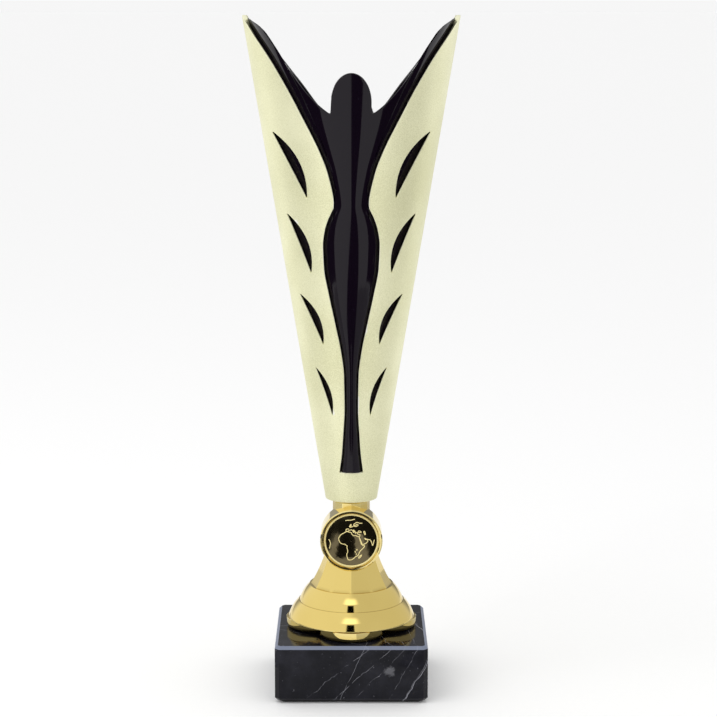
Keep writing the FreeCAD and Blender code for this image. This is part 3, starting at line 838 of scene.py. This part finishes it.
# veins of the stone: direction across the vein, distance from the origin, width, how broken it is, strength
VEINS = [
    ((0.84, 0.22, -0.49), 13.6 * MM, 0.20 * MM, 0.36, 0.75),
    ((0.86, 0.18, -0.47), 15.2 * MM, 0.14 * MM, 0.46, 0.50),
    ((0.87, 0.15, -0.46), 10.2 * MM, 0.12 * MM, 0.50, 0.45),
    ((0.90, -0.10, -0.43), -1.4 * MM, 0.13 * MM, 0.44, 0.45),
    ((0.66, 0.20, -0.72), -13.5 * MM, 0.16 * MM, 0.48, 0.45),
    ((0.70, 0.25, -0.66), -8.0 * MM, 0.12 * MM, 0.52, 0.30),
    ((0.45, 0.70, -0.55), -34.0 * MM, 0.14 * MM, 0.50, 0.35),
    ((-0.60, 0.60, -0.52), 6.0 * MM, 0.12 * MM, 0.52, 0.30),
    ((0.30, -0.85, -0.43), -22.0 * MM, 0.16 * MM, 0.48, 0.40),
]


PATCH_RIGHT = 17.5 * MM
PATCH_UP = 15.5 * MM


def marble():
    """Black marble: clouds, veins, flecks and one torn patch; its upward-leaning bevels are honed and
    rougher, and carry a painted blue-grey highlight.
    """
    black = (0.006, 0.006, 0.009)
    material, tree, shader = new_material("polished_black_marble", black, 0.0, 0.08, ior=1.27)
    at = place_coordinates(tree)
    cloud = ramp(tree, noise(tree, at, 60.0, 5.0, 0.6), 0.40, 0.75)
    colour = blend_colours(tree, cloud, (0.004, 0.004, 0.007, 1), (0.016, 0.016, 0.023, 1))
    vein = make_vein()
    mask = None
    for across, offset, width, broken, strength in VEINS:
        one = place(tree, vein, Vector=at, Across=across, Offset=offset, Width=width, Broken=broken)["Mask"]
        one = maths(tree, "MULTIPLY", one, strength)
        mask = one if mask is None else maths(tree, "MAXIMUM", mask, one)
    colour = blend_colours(tree, mask, colour, (0.42, 0.42, 0.47, 1))
    flecks = ramp(tree, noise(tree, at, 900.0, 2.0), 0.71, 0.78, 0.0, 0.40)
    colour = blend_colours(tree, flecks, colour, (0.40, 0.40, 0.46, 1))
    patch_at = add(tree, "VectorMath", {"operation": "DISTANCE"})
    feed(tree, patch_at.inputs[0], at)
    feed(tree, patch_at.inputs[1], (PATCH_RIGHT, MARBLE_LOW.y, PATCH_UP))
    torn = maths(tree, "ADD", patch_at.outputs["Value"],
                 maths(tree, "MULTIPLY", noise(tree, at, 420.0, 5.0, 0.7), 7.0 * MM))
    patch = ramp(tree, torn, 4.6 * MM, 6.6 * MM, 0.32, 0.0)
    colour = blend_colours(tree, patch, colour, (0.30, 0.30, 0.33, 1))
    upward = add(tree, "SeparateXYZ", Vector=add(tree, "TexCoord").outputs["Normal"]).outputs["Z"]
    leaning = ramp(tree, upward, 0.35, 0.55)
    level = ramp(tree, upward, 0.85, 0.95)
    # the upward-leaning bevels: a rougher honed finish, and a painted blue-grey highlight of the light from
    # above
    honed_bevel_with_painted_highlight = maths(tree, "MULTIPLY", leaning, maths(tree, "SUBTRACT", 1.0, level))
    colour = blend_colours(tree, maths(tree, "MULTIPLY", honed_bevel_with_painted_highlight, 0.60), colour, (0.30, 0.34, 0.46, 1))
    feed(tree, shader.inputs["Base Color"], colour)
    smudge = place(tree, SMUDGES, Vector=at, Scale=50.0, Clean=0.05, Smudged=0.12)
    rougher = maths(tree, "MULTIPLY", honed_bevel_with_painted_highlight, 0.35)
    feed(tree, shader.inputs["Roughness"], maths(tree, "ADD", smudge["Roughness"], rougher))
    scratch = place(tree, SCRATCHES, Vector=at, Scale=260.0, Amount=0.5)
    bump(tree, shader, scratch["Height"], 0.004 * MM, 0.3)
    return material


def felt():
    """The pad's black felt."""
    material, tree, shader = new_material("black_felt", (0.02, 0.02, 0.02), 0.0, 0.95)
    at = place_coordinates(tree)
    fibre = noise(tree, at, 2200.0, 5.0, 0.7)
    colour = blend_colours(tree, fibre, (0.008, 0.008, 0.008, 1), (0.06, 0.06, 0.06, 1))
    feed(tree, shader.inputs["Base Color"], colour)
    shader.inputs["Sheen Weight"].default_value = 0.4
    bump(tree, shader, fibre, 0.2 * MM, 0.8)
    return material


def zinc_steel():
    """The washers' and nuts' plating."""
    material, tree, shader = new_material("zinc_plated_steel", (0.60, 0.61, 0.63), 1.0, 0.28)
    at = place_coordinates(tree)
    grain = place(tree, GRAIN, Vector=at, Grain=1800.0, Cloud=160.0)
    colour = blend_colours(tree, grain["Tone"], (0.50, 0.51, 0.55, 1), (0.70, 0.71, 0.72, 1))
    feed(tree, shader.inputs["Base Color"], colour)
    smudge = place(tree, SMUDGES, Vector=at, Scale=240.0, Clean=0.22, Smudged=0.38)
    feed(tree, shader.inputs["Roughness"], smudge["Roughness"])
    bump(tree, shader, grain["Height"], 0.02 * MM, 0.4)
    return material


def threaded_steel():
    """The rod's finish: plated steel with the thread's ridges, and painted shade darkening the thread's
    grooves.
    """
    material, tree, shader = new_material("threaded_steel", (0.60, 0.61, 0.63), 1.0, 0.30)
    at = place_coordinates(tree)
    parts = add(tree, "SeparateXYZ", Vector=at)
    angle = maths(tree, "ARCTAN2", parts.outputs["Y"], parts.outputs["X"])
    turn = maths(tree, "DIVIDE", angle, 2 * math.pi)
    rise = maths(tree, "DIVIDE", parts.outputs["Z"], THREAD_PITCH)
    thread = maths(tree, "PINGPONG", maths(tree, "ADD", rise, turn), 0.5)
    grain = place(tree, GRAIN, Vector=at, Grain=1800.0, Cloud=160.0)
    # painted shade: the thread's grooves darker, its crests lighter
    steel = blend_colours(tree, thread, (0.30, 0.31, 0.33, 1), (0.72, 0.73, 0.74, 1))
    feed(tree, shader.inputs["Base Color"], steel)
    feed(tree, shader.inputs["Roughness"], ramp(tree, grain["Tone"], 0.0, 1.0, 0.25, 0.40))
    bump(tree, shader, thread, THREAD_PITCH, 1.0)
    return material


def foam_tape():
    """The white tape behind the emblem."""
    material, tree, shader = new_material("white_foam_tape", (0.80, 0.80, 0.77), 0.0, 0.8)
    at = place_coordinates(tree)
    cells = add(tree, "TexVoronoi", Vector=at, Scale=3500.0).outputs["Distance"]
    foam = blend_colours(tree, cells, (0.66, 0.66, 0.63, 1), (0.86, 0.86, 0.83, 1))
    feed(tree, shader.inputs["Base Color"], foam)
    bump(tree, shader, cells, 0.1 * MM, 0.6)
    return material


def black_enamel():
    """The emblem's dark mirror of an enamel, slightly wavy."""
    material, tree, shader = new_material("black_enamel", (0.15, 0.12, 0.065), 1.0, 0.05)
    at = place_coordinates(tree)
    smudge = place(tree, SMUDGES, Vector=at, Scale=120.0, Clean=0.04, Smudged=0.09)
    feed(tree, shader.inputs["Roughness"], smudge["Roughness"])
    wave = noise(tree, at, 150.0, 1.0)
    bump(tree, shader, wave, 0.02 * MM, 0.2)
    colour = blend_colours(tree, wave, (0.13, 0.105, 0.055, 1), (0.17, 0.138, 0.078, 1))
    feed(tree, shader.inputs["Base Color"], colour)
    return material


def studio_paper():
    """The floor's white paper."""
    material, tree, shader = new_material("studio_paper", (0.965, 0.965, 0.965), 0.0, 0.85)
    shader.inputs["Specular IOR Level"].default_value = 0.2
    fibre = noise(tree, place_coordinates(tree), 300.0, 3.0)
    paper = blend_colours(tree, fibre, (0.955, 0.955, 0.955, 1), (0.975, 0.975, 0.975, 1))
    feed(tree, shader.inputs["Base Color"], paper)
    return material


SATIN_GOLD = satin_gold()
POLISHED_GOLD = polished_gold("polished_gold", (0.74, 0.56, 0.175), (0.84, 0.66, 0.225), 1.0, 0.035,
                              0.09)
EMBLEM_GOLD = polished_gold("bright_emblem_gold", (1.0, 0.78, 0.27), (1.0, 0.88, 0.42), 0.45, 0.28, 0.36)
GLOSS_BLACK = gloss_black()
STEEL = zinc_steel()

for node, material in (
    ("base_pad", felt()), ("marble_base", marble()), ("base_washer", STEEL), ("base_nut", STEEL),
    ("tie_rod", threaded_steel()), ("emblem_pad", foam_tape()), ("emblem_disc", EMBLEM_GOLD),
    ("emblem_enamel", black_enamel()), ("cup_washer", STEEL), ("cup_nut", STEEL),
):
    NODES[node].data.materials.clear()
    NODES[node].data.materials.append(material)

# ================================================================ pieces

def together(first, second):
    """Two closed shells that run into each other, as one mesh."""
    for shell in (first, second):
        bmesh.ops.recalc_face_normals(shell, faces=shell.faces)
    mesh = bpy.data.meshes.new("second shell")
    second.to_mesh(mesh)
    second.free()
    first.from_mesh(mesh)
    return first


cone = together(outer_cone_mesh(), lathe(outer_floor_ring(), 96))
finish_piece(cone, "pierced_outer_cone", SATIN_GOLD, ["outer_cone"], sharp=25)

finish_piece(inner_cone_mesh(), "figure_inner_cone", GLOSS_BLACK, ["inner_cone"], sharp=35)

foot = together(foot_mesh(), lathe(holder_profile(), 128, facing_front))
finish_piece(foot, "gold_foot", POLISHED_GOLD, ["foot"], sharp=20)

# --- the emblem's globe: coast lines as raised gold threads, drawn from latitudes and longitudes ---
GLOBE_EAST = 15.0
GLOBE_NORTH = 18.0
GLOBE_TILT = math.radians(14.0)     # clockwise
GLOBE_RADIUS = ENAMEL_RADIUS - 0.25 * MM
THREAD_RADIUS = 0.23 * MM
THREAD_SINK = 0.10 * MM
ENAMEL_CROWN = 0.25 * MM
# each line is a list of (north, east)
COASTS = [
    # Africa, clockwise from the strait
    [(35.8, -5.5), (37.0, 3.0), (37.1, 10.5), (33.5, 10.8), (32.6, 14.5), (30.5, 18.5), (32.8, 22.0),
     (31.0, 29.0), (31.2, 32.6), (27.5, 34.2), (22.0, 37.0), (15.5, 39.8), (12.0, 43.3), (10.8, 44.6),
     (11.9, 51.2), (5.0, 48.5), (-2.0, 41.5), (-10.5, 40.4), (-15.5, 40.6), (-20.0, 34.9), (-25.5, 32.8),
     (-30.0, 31.0), (-34.0, 25.8), (-34.6, 20.0), (-32.5, 18.2), (-26.5, 15.2), (-18.0, 11.9),
     (-12.0, 13.6), (-6.0, 12.2), (-0.8, 8.8), (4.4, 8.9), (4.4, 6.2), (6.3, 2.5), (4.9, -2.0),
     (4.6, -7.8), (8.4, -13.2), (12.5, -16.8), (14.8, -17.4), (20.8, -17.0), (26.0, -14.4),
     (30.5, -9.7), (35.8, -5.5)],
    # south coast of Europe and round Asia Minor
    [(43.5, -1.6), (43.5, -8.5), (38.7, -9.3), (36.2, -5.8), (37.0, -1.8), (41.0, 1.0), (43.2, 4.5),
     (44.3, 8.8), (41.2, 13.0), (38.0, 15.8), (40.4, 17.8), (43.6, 13.6), (45.4, 12.8), (42.0, 19.2),
     (37.0, 22.2), (40.4, 23.2), (40.8, 26.5), (36.8, 27.8), (36.4, 33.0), (36.6, 36.0), (31.2, 34.2)],
    # Arabia, the gulf and India
    [(28.0, 34.6), (21.0, 39.2), (12.8, 43.6), (14.8, 49.5), (18.5, 56.8), (22.5, 59.6), (26.0, 56.3),
     (24.4, 52.0), (29.8, 48.2), (27.0, 52.5), (25.4, 60.5), (24.8, 67.0), (20.8, 70.8), (15.0, 74.0),
     (8.2, 77.3), (13.0, 80.2), (16.8, 82.2), (21.5, 87.2)],
    # the northern seas
    [(49.0, -2.0), (51.0, 2.5), (53.5, 7.5), (57.0, 8.2), (56.0, 12.5), (54.2, 13.5), (57.5, 22.0),
     (60.0, 29.0), (65.5, 23.0), (58.0, 16.5), (58.2, 7.5), (63.0, 8.0), (70.0, 20.0), (70.8, 28.0),
     (67.0, 40.0), (69.0, 60.0)],
    [(50.3, -5.2), (51.2, 1.2), (55.5, -1.8), (58.5, -3.5), (56.0, -5.8), (53.2, -4.2), (50.3, -5.2)],
    # Black Sea and Caspian Sea
    [(41.3, 29.0), (41.5, 41.0), (45.2, 37.0), (45.5, 31.0), (42.5, 27.8), (41.3, 29.0)],
    [(37.0, 50.0), (37.2, 54.0), (42.0, 52.6), (46.5, 52.0), (44.0, 47.2), (40.3, 49.8), (37.0, 50.0)],
    # Madagascar
    [(-12.2, 49.3), (-18.0, 49.4), (-25.0, 46.8), (-22.0, 43.5), (-16.0, 44.8), (-12.2, 49.3)],
    # the great lake and the long lakes
    [(0.3, 32.5), (0.0, 34.2), (-2.4, 33.0), (-1.0, 31.8), (0.3, 32.5)],
    [(-4.0, 29.2), (-8.5, 31.0)],
    [(-10.0, 34.1), (-14.2, 35.0)],
    # Greenland's edge and the far coast of South America
    [(60.0, -44.0), (65.5, -39.0), (70.3, -24.0), (76.5, -20.0), (81.0, -14.0)],
    [(-1.0, -48.0), (-5.2, -36.0), (-12.8, -38.4), (-22.5, -41.5)],
]


def on_globe(north, east):
    """A place seen straight from the globe's middle, as (right, up) on a disc of radius one."""
    n = math.radians(north)
    e = math.radians(east - GLOBE_EAST)
    c = math.radians(GLOBE_NORTH)
    right = math.cos(n) * math.sin(e)
    up = math.cos(c) * math.sin(n) - math.sin(c) * math.cos(n) * math.cos(e)
    return (right * math.cos(GLOBE_TILT) + up * math.sin(GLOBE_TILT),
            up * math.cos(GLOBE_TILT) - right * math.sin(GLOBE_TILT))


def enamel_depth(x, z):
    """Where the crowned enamel's surface is, behind its middle."""
    return ENAMEL_LOW.y + ENAMEL_CROWN * (x * x + z * z) / ENAMEL_RADIUS ** 2


def globe_threads():
    """The globe's lines: round threads, half sunk in the enamel."""
    curve = bpy.data.curves.new("globe threads", "CURVE")
    curve.dimensions = "3D"
    curve.bevel_depth = THREAD_RADIUS
    curve.bevel_resolution = 2
    curve.use_fill_caps = True
    for coast in COASTS:
        spline = curve.splines.new("NURBS")
        closed = coast[0] == coast[-1]
        places = coast[:-1] if closed else coast
        spline.points.add(len(places) - 1)
        for point, (north, east) in zip(spline.points, places):
            x, z = (value * GLOBE_RADIUS for value in on_globe(north, east))
            point.co = (x, enamel_depth(x, z) + THREAD_SINK, EMBLEM_Z + z, 1)
        spline.order_u = 3
        spline.resolution_u = 3
        spline.use_cyclic_u = closed
        spline.use_endpoint_u = True
    holder = bpy.data.objects.new("globe threads", curve)
    bpy.context.scene.collection.objects.link(holder)
    bpy.context.view_layer.update()
    mesh = bpy.data.meshes.new_from_object(holder.evaluated_get(bpy.context.evaluated_depsgraph_get()))
    bpy.data.objects.remove(holder)
    return mesh


finish_piece(globe_threads(), "globe_threads", EMBLEM_GOLD, sharp=60)

# ================================================================ studio

def flat_card(name, corners, material):
    """A flat sheet of the studio from its corner points."""
    mesh = bpy.data.meshes.new(name)
    mesh.from_pydata(corners, [], [tuple(range(len(corners)))])
    mesh.materials.append(material)
    card = bpy.data.objects.new(name, mesh)
    bpy.context.scene.collection.objects.link(card)
    card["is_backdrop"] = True
    return card


FLOOR_REACH = 100.0
flat_card("studio_floor", [(-FLOOR_REACH, -FLOOR_REACH, 0), (FLOOR_REACH, -FLOOR_REACH, 0),
                           (FLOOR_REACH, FLOOR_REACH, 0), (-FLOOR_REACH, FLOOR_REACH, 0)], studio_paper())

# black cards that keep the room's dark gaps in the glossy surfaces: (name, corners on the floor)
CARD_Z = 2.0 * MM
CARDS = [
    ("front_gap", [(-0.13, -0.33), (-0.085, -0.40), (0.0, -0.53), (0.0, -1.2), (0.29, -1.2), (0.21, -0.80),
                   (0.16, -0.55), (0.15, -0.45), (0.13, -0.33)]),
    ("front_gap_left", [(-0.13, -0.20), (-0.13, -0.33), (-0.028, -0.33), (-0.028, -0.20)]),
    ("front_gap_middle", [(-0.019, -0.20), (-0.019, -0.33), (0.005, -0.33), (0.005, -0.20)]),
    ("front_gap_right", [(0.021, -0.20), (0.021, -0.33), (0.13, -0.33), (0.13, -0.20)]),
]
SIDE_NEAR = 0.42
SIDE_FAR = 2.6
DIM_NEAR = 0.09
DIM_FAR = 0.41


def ring_slice(start, end, near, far):
    """A card's corners as a slice of a wide ring round the cup, between two angles from the front."""
    turns = [math.radians(degrees) for degrees in spread(start, end, 9)]
    ring = [polar(near, t, 0) for t in turns] + [polar(far, t, 0) for t in reversed(turns)]
    return [(p.x, p.y) for p in ring]


CARDS += [("right_gap", ring_slice(48, 108, SIDE_NEAR, SIDE_FAR)),
          ("left_gap", ring_slice(-48, -108, SIDE_NEAR, SIDE_FAR))]
# grey cards near the foot, which dim all its facets but the one left of the middle
GREY_CARDS = [("right_dim", ring_slice(14, 150, DIM_NEAR, DIM_FAR)),
              ("left_dim", ring_slice(-50, -150, DIM_NEAR, DIM_FAR))]


def card_finish(name, tone):
    """The cards' matt board, of an even grey."""
    material, tree, shader = new_material(name, (tone, tone, tone), 0.0, 0.9)
    fibre = noise(tree, place_coordinates(tree), 500.0, 2.0)
    darker = tone * 0.9
    board = blend_colours(tree, fibre, (darker, darker, darker, 1), (tone, tone, tone, 1))
    feed(tree, shader.inputs["Base Color"], board)
    return material


BLACK_CARD = card_finish("black_card", 0.005)
GREY_CARD = card_finish("grey_card", 0.58)
for cards, material, height in ((CARDS, BLACK_CARD, CARD_Z), (GREY_CARDS, GREY_CARD, CARD_Z / 2)):
    for name, corners in cards:
        card = flat_card(name, [(x, y, height) for x, y in corners], material)
        card.visible_camera = False
        card.visible_diffuse = False
        card.visible_shadow = False


TENT_LEFT = 1.0
TENT_RIGHT = 0.76
TENT_BACK = 0.35
TENT_EVEN = 0.97        # what dull surfaces get from every side
BACKDROP = 0.925        # what stands behind the floor's edge
GAP_CENTRE = -0.03
GAP_HALF = 0.11
GAP_TOP = 0.62
BAND_EXTRA = 0.9
BAND_LOW = 0.66


def light_tent():
    """Even soft light. Mirroring surfaces see a dark gap in front, a brighter band above, a dim back."""
    world = bpy.data.worlds.new("light_tent")
    world.use_nodes = True
    tree = world.node_tree
    background = tree.nodes["Background"]
    way = add(tree, "SeparateXYZ", Vector=add(tree, "TexCoord").outputs["Generated"]).outputs
    turn = maths(tree, "ARCTAN2", way["X"], maths(tree, "MULTIPLY", way["Y"], -1.0))
    sides = ramp(tree, turn, -0.30, 0.35, TENT_LEFT, TENT_RIGHT)
    beside = maths(tree, "ABSOLUTE", maths(tree, "SUBTRACT", turn, GAP_CENTRE))
    in_gap = ramp(tree, beside, GAP_HALF, GAP_HALF + 0.05, 1.0, 0.0)
    gap = maths(tree, "MULTIPLY", in_gap, ramp(tree, way["Z"], GAP_TOP, GAP_TOP + 0.04, 1.0, 0.0))
    rising = ramp(tree, way["Z"], BAND_LOW, BAND_LOW + 0.04)
    band_height = maths(tree, "MULTIPLY", rising, ramp(tree, way["Z"], 0.80, 0.92, 1.0, 0.0))
    band = maths(tree, "MULTIPLY", ramp(tree, beside, 0.16, 0.45, 1.0, 0.0), band_height)
    open_sides = maths(tree, "MULTIPLY", sides, maths(tree, "SUBTRACT", 1.0, gap))
    mirrored = maths(tree, "ADD", open_sides, maths(tree, "MULTIPLY", band, BAND_EXTRA))
    mirrored = maths(tree, "MULTIPLY", mirrored, ramp(tree, way["Y"], 0.72, 0.95, 1.0, TENT_BACK))
    path = add(tree, "LightPath").outputs
    strength = add(tree, "MapRange", Value=path["Is Glossy Ray"], To_Min=TENT_EVEN, To_Max=mirrored)
    strength = add(tree, "MapRange", Value=path["Is Camera Ray"], To_Min=strength.outputs["Result"],
                   To_Max=BACKDROP)
    feed(tree, background.inputs["Strength"], strength.outputs["Result"])
    background.inputs["Color"].default_value = (1, 1, 1, 1)
    bpy.context.scene.world = world


light_tent()


SOFTBOX_PLACE = (-0.60, -0.45, 0.95)
SOFTBOX_SIDE = 0.8
SOFTBOX_POWER = 2.5


def soft_light(name, place_at, aim, side, power):
    """A square softbox that lights only dull surfaces, so that it leaves no bright square in the gold."""
    data = bpy.data.lights.new(name, "AREA")
    data.size = side
    data.energy = power
    light = bpy.data.objects.new(name, data)
    bpy.context.scene.collection.objects.link(light)
    light.location = place_at
    light.rotation_mode = "QUATERNION"
    light.rotation_quaternion = (Vector(aim) - Vector(place_at)).to_track_quat("-Z", "Y")
    light.visible_camera = False
    light.visible_glossy = False


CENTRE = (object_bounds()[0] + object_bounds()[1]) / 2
soft_light("overhead_softbox", SOFTBOX_PLACE, CENTRE, SOFTBOX_SIDE, SOFTBOX_POWER)

# ================================================================ camera

CAMERA_PLACE = Vector((0, -0.9595, 0.3154))
CAMERA_DROP = math.radians(9.525)
CAMERA_SENSOR = 36.0
CAMERA_LENS = 105.7406
CAMERA_SHIFT = 0.010
camera_data = bpy.data.cameras.new("camera")
camera_data.sensor_width = CAMERA_SENSOR
camera_data.lens = CAMERA_LENS
camera_data.shift_x = CAMERA_SHIFT
camera = bpy.data.objects.new("camera", camera_data)
bpy.context.scene.collection.objects.link(camera)
camera.location = CAMERA_PLACE
camera.rotation_mode = "XYZ"
camera.rotation_euler = (math.pi / 2 - CAMERA_DROP, 0, 0)
bpy.context.scene.camera = camera
bpy.context.scene.view_settings.view_transform = "Standard"
